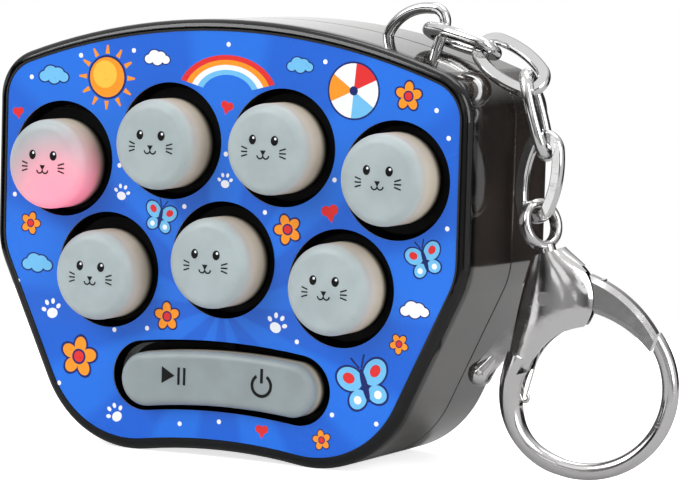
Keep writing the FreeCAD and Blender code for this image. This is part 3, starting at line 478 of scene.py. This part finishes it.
def light_from_below(finish, point, inwards, lamp, colour):
    """Pink light of a lamp in the silicone: gives the tinted colour and sets the glow."""
    bright_reach, dark_reach = 1.5 * MM, 10.8 * MM
    spot = finish.node("ShaderNodeMapping")
    spot.inputs["Location"].default_value = tuple(-value for value in lamp)
    finish.link(point, spot.inputs["Vector"])
    near = finish.node("ShaderNodeVectorMath", operation="LENGTH")
    finish.link(spot.outputs["Vector"], near.inputs[0])
    lit = finish.ramp(near.outputs["Value"], bright_reach, dark_reach, 1.0, 0.0)
    outside = finish.ramp(inwards, LABEL_FACE - 1.0 * MM, LABEL_FACE + 0.6 * MM, 1.0, 0.0)
    shine = finish.mix(finish.calculate("MULTIPLY", lit, outside), (0.0, 0.0, 0.0), (1.0, 0.16, 0.28))
    finish.link(shine, finish.shader.inputs["Emission Color"])
    finish.shader.inputs["Emission Strength"].default_value = 0.4
    return finish.mix(lit, colour, (0.80, 0.30, 0.38))


def chrome_plate(name, colour, smooth, rough, cast=False):
    """Bright plating; a casting keeps a soft unevenness under it."""
    scuff_dullness = 0.10
    finish = Finish(name, colour, Metallic=1.0)
    surface = finish.handled(patch=420.0, smooth=smooth, rough=rough)
    marks = finish.group(HAIRLINES, Scale=260.0)
    dulled = finish.calculate("MULTIPLY", marks.outputs["Mask"], scuff_dullness)
    dulled = finish.calculate("ADD", dulled, surface.outputs["Roughness"])
    finish.link(dulled, finish.shader.inputs["Roughness"])
    if cast:
        relief = finish.node("ShaderNodeBump")
        relief.inputs["Strength"].default_value = 0.12
        relief.inputs["Distance"].default_value = 0.4 * MM
        finish.link(finish.speckle(finish.point(), 230.0), relief.inputs["Height"])
        finish.link(relief.outputs["Normal"], finish.shader.inputs["Normal"])
    return finish.material


def plain_metal(name, colour, smooth, rough):
    """Bare metal of hidden and small parts."""
    finish = Finish(name, colour, Metallic=1.0)
    finish.handled(patch=800.0, smooth=smooth, rough=rough, grain=6000.0, bump=0.1)
    return finish.material


def plain_plastic(name, colour, smooth, rough, bump=0.1):
    """Opaque plastic or resin with a slight spread of tone."""
    finish = Finish(name, colour)
    surface = finish.handled(patch=500.0, smooth=smooth, rough=rough, grain=5000.0, bump=bump)
    darker = tuple(channel * 0.85 for channel in colour)
    finish.paint(finish.mix(surface.outputs["Mask"], darker, colour))
    return finish.material


def green_board():
    """Solder mask with paler copper tracks under it."""
    finish = Finish("green_board", (0.02, 0.09, 0.04))
    finish.handled(patch=500.0, smooth=0.3, rough=0.45)
    tracks = finish.node("ShaderNodeTexBrick")
    tracks.inputs["Scale"].default_value = 260.0
    tracks.inputs["Mortar Size"].default_value = 0.06
    tracks.inputs["Color1"].default_value = (0.012, 0.06, 0.028, 1.0)
    tracks.inputs["Color2"].default_value = (0.016, 0.075, 0.034, 1.0)
    tracks.inputs["Mortar"].default_value = (0.05, 0.17, 0.07, 1.0)
    flat = finish.node("ShaderNodeMapping")
    flat.inputs["Rotation"].default_value = (math.pi / 2, 0.0, 0.0)
    finish.link(finish.point(), flat.inputs["Vector"])
    finish.link(flat.outputs["Vector"], tracks.inputs["Vector"])
    finish.paint(tracks.outputs["Color"])
    return finish.material


def dress(material, *names):
    """Give CAD nodes their finish."""
    for name in names:
        slots = nodes[name].material_slots
        if not slots:
            nodes[name].data.materials.append(material)
            continue
        for held in slots:
            held.material = material


# Printed shapes, drawn flat in X and Z and laid on a piece

class Print:
    """Thin printed shapes in inks, laid from the front on to a piece. Their sizes are in millimetres."""

    # The first ink's height over the piece, each next ink's step, the drop past which a point stays level,
    # and the plane in front of the part from which rays look for the piece
    first_lift, lift_step, edge_drop, start_plane = 0.006, 0.0012, 0.5, -50.0

    def __init__(self, name, ground, inks):
        self.name = name
        self.inks = inks
        self.shape = bmesh.new()
        held = bmesh.new()
        held.from_mesh(ground.data)
        self.ground = BVHTree.FromBMesh(held)
        held.free()
        self.layer = 0

    def motif(self):
        """Begin a drawing of its own, so that its first ink lies on the piece again."""
        self.layer = 0

    def add(self, made, ink, place):
        """Take the new flat faces to their place, in millimetres, and set their ink."""
        self.layer += 1
        centre, turn, stretch = place
        flat = Matrix.Rotation(math.radians(90), 4, "X")
        grow = Matrix.Diagonal((stretch[0] * MM, 1.0, stretch[1] * MM, 1.0))
        spin = Matrix.Rotation(-math.radians(turn), 4, "Y")
        matrix = Matrix.Translation((centre[0] * MM, 0.0, centre[1] * MM)) @ spin @ grow @ flat
        bmesh.ops.transform(self.shape, matrix=matrix, verts=made)
        lift = (self.first_lift + self.lift_step * self.layer) * MM
        depths = []
        for vert in made:
            start = Vector((vert.co.x, self.start_plane * MM, vert.co.z))
            hit = self.ground.ray_cast(start, Vector((0.0, 1.0, 0.0)))
            depths.append(hit[0].y if hit[0] else None)
        held = [depth for depth in depths if depth is not None]
        nearest = min(held) if held else LABEL_FACE
        for vert, depth in zip(made, depths):
            on_top = depth is not None and depth < nearest + self.edge_drop * MM
            vert.co.y = (depth if on_top else nearest) - lift
        faces = {face for vert in made for face in vert.link_faces}
        for face in faces:
            face.material_index = self.inks.index(ink)

    def disc(self, ink, centre, radius, turn=0.0, flatten=1.0, segments=28):
        """Round or flattened spot."""
        made = bmesh.ops.create_circle(self.shape, cap_ends=True, segments=segments, radius=1.0)["verts"]
        self.add(made, ink, (centre, turn, (radius, radius * flatten)))

    def bar(self, ink, centre, length, width, turn=0.0, taper=1.0):
        """Straight stroke along its turn, narrower at its far end by taper."""
        made = bmesh.ops.create_grid(self.shape, x_segments=1, y_segments=1, size=0.5)["verts"]
        for vert in made:
            if vert.co.x > 0:
                vert.co.y *= taper
        self.add(made, ink, (centre, turn, (length, width)))

    def wedge(self, ink, centre, radius, turn=0.0):
        """Triangle of equal sides that points up at no turn."""
        made = bmesh.ops.create_circle(self.shape, cap_ends=True, segments=3, radius=1.0)["verts"]
        self.add(made, ink, (centre, turn, (radius, radius)))

    def arc(self, ink, centre, radius, width, start, sweep, steps=16, flatten=1.0):
        """Curved stroke from start through sweep degrees."""
        edge = bmesh.ops.create_vert(self.shape, co=(radius - width / 2, 0.0, 0.0))["vert"]
        edge += bmesh.ops.create_vert(self.shape, co=(radius + width / 2, 0.0, 0.0))["vert"]
        bmesh.ops.rotate(self.shape, verts=edge, cent=(0, 0, 0),
                         matrix=Matrix.Rotation(math.radians(start), 3, "Z"))
        first = self.shape.edges.new(edge)
        before = set(self.shape.verts)
        bmesh.ops.spin(self.shape, geom=[first] + edge, cent=(0, 0, 0), axis=(0, 0, 1),
                       angle=math.radians(sweep), steps=steps)
        made = [vert for vert in self.shape.verts if vert not in before] + edge
        self.add(made, ink, (centre, 0.0, (1.0, flatten)))

    def petals(self, ink, centre, count, reach, radius, turn):
        """Ring of long spots that point outwards."""
        for index in range(count):
            angle = math.radians(turn + 360.0 * index / count)
            spot = (centre[0] + reach * math.cos(angle), centre[1] + reach * math.sin(angle))
            self.disc(ink, spot, radius, math.degrees(angle), 0.8, segments=18)

    def finish(self, body, materials, slot):
        """Turn all faces to the front and put the print on its body."""
        for face in self.shape.faces:
            if face.normal.y > 0:
                face.normal_flip()
        piece = add_object(self.name, self.shape, [materials[ink] for ink in self.inks])
        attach(piece, body)


def draw_flower(sheet, centre, size, turn):
    """Five orange petals with a navy edge and a red heart."""
    sheet.petals("navy", centre, 5, size * 0.55, size * 0.50, turn)
    sheet.petals("orange", centre, 5, size * 0.55, size * 0.38, turn)
    sheet.disc("navy", centre, size * 0.36)
    sheet.disc("red", centre, size * 0.26)


def draw_paw(sheet, centre, size, turn):
    """White print of one pad and four toes."""
    lean = math.radians(turn)
    sheet.disc("white", centre, size * 0.52, turn, 0.82, segments=20)
    for angle, reach in ((148, 0.86), (108, 1.0), (72, 1.0), (32, 0.86)):
        way = lean + math.radians(angle)
        spot = (centre[0] + size * reach * math.cos(way), centre[1] + size * reach * math.sin(way))
        sheet.disc("white", spot, size * 0.24, math.degrees(way), 0.75, segments=14)


def draw_cloud(sheet, centre, size, ink="sky"):
    """Heap of five round puffs with a navy edge."""
    heaps = ((-0.95, 0.0, 0.52), (-0.35, 0.35, 0.66), (0.38, 0.28, 0.60), (0.95, 0.0, 0.48),
             (0.0, -0.08, 0.6))
    for margin, tone in ((0.13, "navy"), (0.0, ink)):
        for x, z, radius in heaps:
            spot = (centre[0] + x * size, centre[1] + z * size)
            sheet.disc(tone, spot, (radius + margin) * size, 0.0, 0.86, segments=20)


def draw_sun(sheet, centre, size):
    """Orange sun with short rays."""
    for index in range(12):
        angle = math.radians(30.0 * index)
        spot = (centre[0] + size * 1.34 * math.cos(angle), centre[1] + size * 1.34 * math.sin(angle))
        sheet.bar("orange", spot, size * 0.42, size * 0.24, math.degrees(angle), 0.35)
    sheet.disc("navy", centre, size * 1.06)
    sheet.disc("orange", centre, size * 0.96)
    sheet.disc("gold", (centre[0] - size * 0.12, centre[1] + size * 0.14), size * 0.66)


def draw_heart(sheet, centre, size, turn):
    """Small red heart from two rounds and a wedge."""
    lean = math.radians(turn)
    for side in (-1, 1):
        spot = (centre[0] + size * (side * 0.42 * math.cos(lean) - 0.2 * math.sin(lean)),
                centre[1] + size * (side * 0.42 * math.sin(lean) + 0.2 * math.cos(lean)))
        sheet.disc("red", spot, size * 0.52, turn, 1.0, segments=18)
    low = (centre[0] + size * 0.10 * math.sin(lean), centre[1] - size * 0.10 * math.cos(lean))
    sheet.wedge("red", low, size * 0.98, turn + 180)


def draw_rainbow(sheet, centre, reach):
    """Four-coloured arch."""
    for step, ink in enumerate(("red", "orange", "white", "sky")):
        radius = reach * (0.94 - 0.12 * step)
        sheet.arc(ink, centre, radius, reach * 0.12, 20, 140, steps=36, flatten=0.72)


def draw_ball(sheet, centre, size):
    """Striped beach ball."""
    sheet.disc("navy", centre, size * 1.07, segments=40)
    sheet.disc("white", centre, size, segments=40)
    for index, ink in enumerate(("red", "orange", "sky")):
        sheet.arc(ink, centre, size * 0.55, size * 0.9, 25 + 120 * index, 60, steps=12)
    sheet.disc("navy", centre, size * 0.17)


def draw_butterfly(sheet, centre, size, turn):
    """Two pairs of light blue wings with red spots on a navy body."""
    lean = math.radians(turn)

    def spot(across, up):
        return (centre[0] + size * (across * math.cos(lean) - up * math.sin(lean)),
                centre[1] + size * (across * math.sin(lean) + up * math.cos(lean)))

    for margin, tone in ((0.09, "navy"), (0.0, "sky")):
        for side in (-1, 1):
            sheet.disc(tone, spot(side * 0.52, 0.36), (0.52 + margin) * size, turn + side * 35, 0.80)
            sheet.disc(tone, spot(side * 0.40, -0.42), (0.38 + margin) * size, turn - side * 35, 0.85)
    for side in (-1, 1):
        sheet.disc("red", spot(side * 0.55, 0.40), 0.24 * size, turn + side * 35, 0.8)
        sheet.disc("white", spot(side * 0.42, -0.44), 0.15 * size)
        sheet.bar("navy", spot(side * 0.16, 0.85), 0.5 * size, 0.07 * size, turn + 90 - side * 28)
    sheet.disc("navy", spot(0.0, 0.0), 0.62 * size, turn + 90, 0.2)


def print_on_label(inks):
    """Motifs in the free places between the keys, and white dots."""
    sheet = Print("label_print", nodes["face_label"], ["navy", "orange", "red", "white", "sky", "gold"])

    def draw(motif, *rows):
        for row in rows:
            sheet.motif()
            motif(sheet, *row)

    draw(draw_sun, ((-18.2, 22.9), 2.75))
    draw(draw_ball, ((18.4, 22.9), 3.5))
    draw(draw_rainbow, ((0.0, 21.3), 7.4))
    draw(draw_cloud, ((-26.4, 22.6), 1.55), ((-10.6, 25.6), 1.3, "white"), ((10.6, 25.6), 1.3),
         ((28.0, -4.6), 1.4, "white"), ((-28.4, -2.6), 1.6))
    draw(draw_butterfly, ((21.2, -14.6), 3.6, 18), ((-9.6, 4.9), 2.3, -12), ((29.2, 2.0), 2.5, 20))
    draw(draw_flower, ((-21.6, -14.4), 2.9, 10), ((9.4, 4.6), 2.1, 40), ((26.2, 22.6), 2.0, 15),
         ((-29.6, 2.9), 1.6, 0), ((-8.2, -8.0), 2.0, 22), ((25.9, -8.9), 1.4, 50), ((15.2, -22.2), 1.4, 30))
    draw(draw_paw, ((8.0, -8.2), 1.6, -20), ((0.0, 9.9), 1.2, 0), ((-15.5, -21.9), 1.5, 35),
         ((-15.6, 7.4), 1.3, -10), ((-25.9, -8.9), 1.6, 15))
    draw(draw_heart, ((15.5, 7.2), 1.3, 12), ((0.0, 19.9), 1.0, -12), ((-31.9, 17.6), 0.9, 8),
         ((6.4, -21.8), 1.0, 0))
    for spot in ((32.0, 17.6), (-29.9, 22.4), (30.2, 21.0), (0.0, 28.0), (-14.2, 26.6), (14.2, 26.4),
                 (-22.3, 25.6), (-6.0, 6.6), (6.0, 6.6), (-5.9, -22.0), (0.0, -21.2), (-11.2, -9.8),
                 (11.2, -9.8), (32.2, 6.2), (-32.2, 6.6), (16.0, 11.4), (-16.0, 11.4), (-16.2, -10.4),
                 (16.6, -18.8), (-24.6, -18.2), (0.0, 13.8), (-31.4, -5.0), (23.0, -19.4)):
        sheet.motif()
        sheet.disc("white", spot, 0.32, segments=12)
    sheet.finish("case", inks, "printed_label")


def print_on_key(name, ground, inks):
    """A plain small rodent face: round eyes, nose, whiskers and a short smile."""
    low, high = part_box(name)
    x, z = (low[0] + high[0]) / 2 / MM, (low[2] + high[2]) / 2 / MM
    face = Print(name + "_print", ground, ["ink", "white"])
    for side in (-1, 1):
        eye = (x + side * 1.60, z + 1.25)
        face.disc("ink", eye, 0.52, 0.0, 1.22, segments=24)
        face.disc("white", (eye[0] + 0.12, eye[1] + 0.25), 0.17, segments=12)
        for lift, turn in ((0.46, 18), (-0.04, 0), (-0.54, -18)):
            face.bar("ink", (x + side * 2.80, z - 0.30 + lift), 0.95, 0.19, side * turn)
        face.arc("ink", (x + side * 0.42, z - 0.72), 0.42, 0.20, 180, 180, steps=10)
    face.wedge("ink", (x, z - 0.30), 0.48, 180)
    face.finish(name, inks, "milky_silicone")


def print_on_control_key(inks):
    """Start-and-pause sign at the left end and switch-off sign at the right end."""
    face = Print("control_key_print", nodes["control_key"], ["ink"])
    start, switch = (-6.1, -15.45), (7.2, -15.65)
    face.wedge("ink", (start[0] - 0.95, start[1]), 1.30, -90.0)
    for offset in (0.95, 1.80):
        face.bar("ink", (start[0] + offset, start[1]), 0.38, 2.3)
    face.arc("ink", switch, 1.38, 0.42, 122, 296, steps=32)
    face.bar("ink", (switch[0], switch[1] + 1.25), 0.42, 1.9)
    face.finish("control_key", inks, "milky_silicone")


# Smooth pieces that stand in for coarser CAD meshes

def smooth_cap(name, silicone):
    """Whack key with a smooth crown and round edge: solid of revolution within the CAD key's box."""
    low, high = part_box(name)
    print_room, seat_gap, flange_reach = 0.03 * MM, 0.3 * MM, 1.5 * MM
    soft, crown, wall, flange = 1.5 * MM, 0.3 * MM, 1.3 * MM, 0.9 * MM
    crown_steps, round_steps = 8, 12
    front, foot, reach = low[1] + print_room, high[1], (high[0] - low[0]) / 2
    cap = reach - flange_reach
    seat = FACE_BACK + seat_gap
    edge = cap - soft
    profile = [(edge * step / crown_steps, front + crown * (step / crown_steps) ** 2)
               for step in range(crown_steps + 1)]
    for step in range(1, round_steps + 1):
        turn = math.radians(90 * step / round_steps)
        profile.append((edge + soft * math.sin(turn), front + crown + soft * (1 - math.cos(turn))))
    skirt = cap + wall / 2
    roof = front + crown + wall
    profile += [(cap, seat), (reach, seat), (reach, seat + flange), (skirt, seat + flange), (skirt, foot),
                (cap - wall, foot), (cap - wall, roof + soft), (edge - wall / 2, roof), (0.0, roof)]
    shape = bmesh.new()
    points = [shape.verts.new((radius, depth, 0.0)) for radius, depth in profile]
    edges = [shape.edges.new(pair) for pair in zip(points, points[1:])]
    spin_round(shape, points + edges, 96)
    bmesh.ops.recalc_face_normals(shape, faces=shape.faces)
    bmesh.ops.translate(shape, verts=shape.verts, vec=((low[0] + high[0]) / 2, 0.0, (low[2] + high[2]) / 2))
    shade_smooth(shape)
    piece = add_object(name + "_cap", shape, [silicone])
    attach(piece, name)
    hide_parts(name)
    return piece


def smooth_eye(metal):
    """Swivel eye with a round-edged wide band, its stem and the head that turns in the neck."""
    middle, half, edge = 2.75 * MM, 0.35 * MM, 0.55 * MM
    # Radius, low end and high end, in millimetres from the eye's centre
    stem, head = (1.1, -5.3, -2.75), (1.75, -5.8, -5.0)
    eye_facing, clasp_facing, clasp_tilt = 70, 12, 18
    corners = 24
    shape = bmesh.new()
    ring = []
    for step in range(corners):
        turn = math.radians(360 / corners * step)
        shift = half if step < corners // 2 else -half
        ring.append(shape.verts.new((middle + edge * math.cos(turn), shift + edge * math.sin(turn), 0.0)))
    edges = [shape.edges.new((ring[index - 1], ring[index])) for index in range(corners)]
    spin_round(shape, ring + edges, 72)
    bmesh.ops.rotate(shape, verts=shape.verts, cent=(0, 0, 0),
                     matrix=Matrix.Rotation(math.radians(eye_facing - clasp_facing), 3, "Z"))
    for radius, low, high in (stem, head):
        bmesh.ops.create_cone(shape, cap_ends=True, segments=48, radius1=radius * MM, radius2=radius * MM,
                              depth=(high - low) * MM,
                              matrix=Matrix.Translation((0.0, 0.0, (low + high) / 2 * MM)))
    bmesh.ops.recalc_face_normals(shape, faces=shape.faces)
    lean = (Matrix.Rotation(math.radians(clasp_facing), 4, "Z")
            @ Matrix.Rotation(math.radians(-clasp_tilt), 4, "Y"))
    bmesh.ops.transform(shape, matrix=Matrix.Translation(EYE_CENTRE) @ lean, verts=shape.verts)
    shade_smooth(shape)
    piece = add_object("eye_ring", shape, [metal])
    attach(piece, "swivel_eye")
    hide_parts("swivel_eye")


def lamp_place(name):
    """Where the lamp shines into one key, low and to the right of its middle."""
    low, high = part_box(name)
    right, inwards, drop = 2.0 * MM, 2.5 * MM, 4.6 * MM
    return ((low[0] + high[0]) / 2 + right, low[1] + inwards, (low[2] + high[2]) / 2 - drop)


# Put together

place_camera()
studio_world()
pale_floor()
soft_light("key_softbox", spot=(-0.55, -0.75, 0.75), aim=(0.0, 0.0, 0.0), size=(0.7, 0.7), power=9.0)
soft_light("side_softbox", spot=(0.85, -0.35, 0.35), aim=(0.02, 0.0, 0.0), size=(0.4, 0.8), power=4.5)
soft_light("top_softbox", spot=(0.1, 0.25, 0.9), aim=(0.0, 0.0, 0.0), size=(0.8, 0.5), power=4.0)

bpy.context.scene.view_settings.view_transform = "Standard"

dress(smoked_shell(), "front_housing", "rear_housing", "battery_door")
dress(printed_label(), "face_label")
dress(plain_plastic("milky_mat", (0.5, 0.54, 0.53), smooth=0.4, rough=0.55), "keypad_mat")
dress(green_board(), "circuit_board")
dress(plain_plastic("lamp_resin", (0.75, 0.55, 0.52), smooth=0.1, rough=0.2, bump=0.0), "key_leds")
dress(plain_plastic("black_resin", (0.015, 0.015, 0.015), smooth=0.35, rough=0.5), "sound_chip")
dress(plain_metal("component_metal", (0.7, 0.7, 0.72), smooth=0.25, rough=0.4), "board_components")
dress(plain_metal("screw_steel", (0.50, 0.50, 0.51), smooth=0.2, rough=0.38),
      "board_screws", "door_screw", "case_screws")
dress(plain_plastic("speaker_frame", (0.05, 0.05, 0.05), smooth=0.4, rough=0.6), "speaker")
dress(plain_metal("cell_steel", (0.68, 0.68, 0.67), smooth=0.15, rough=0.3), "battery_cells")
dress(plain_metal("contact_spring", (0.66, 0.66, 0.63), smooth=0.15, rough=0.3),
      "battery_contacts", "gate_spring")
dress(chrome_plate("chrome_wire", (0.66, 0.66, 0.66), smooth=0.05, rough=0.14),
      "wire_bail", "gate_pin", *CHAIN_LINKS)
casting = chrome_plate("chrome_casting", (0.62, 0.61, 0.61), smooth=0.07, rough=0.18, cast=True)
dress(casting, "clasp_body", "gate_lever")
smooth_eye(casting)
dress(milky_silicone("control_silicone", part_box("control_key")[0][1], tone=0.70), "control_key")

inks = {"navy": print_ink("ink_navy", (0.010, 0.020, 0.14)),
        "orange": print_ink("ink_orange", (0.92, 0.30, 0.02)),
        "gold": print_ink("ink_gold", (0.95, 0.52, 0.06)),
        "red": print_ink("ink_red", (0.72, 0.03, 0.03)),
        "white": print_ink("ink_white", (0.86, 0.88, 0.92)),
        "sky": print_ink("ink_sky", (0.16, 0.50, 0.82)),
        "ink": print_ink("ink_black", (0.003, 0.003, 0.003))}
print_on_label(inks)
cap_silicone = milky_silicone("cap_silicone", CAP_FRONT)
lit_silicone = milky_silicone("lit_silicone", CAP_FRONT, lamp_place(LIT_KEY))
for name in WHACK_KEYS:
    cap = smooth_cap(name, lit_silicone if name == LIT_KEY else cap_silicone)
    print_on_key(name, cap, inks)
print_on_control_key(inks)

bpy.context.view_layer.update()
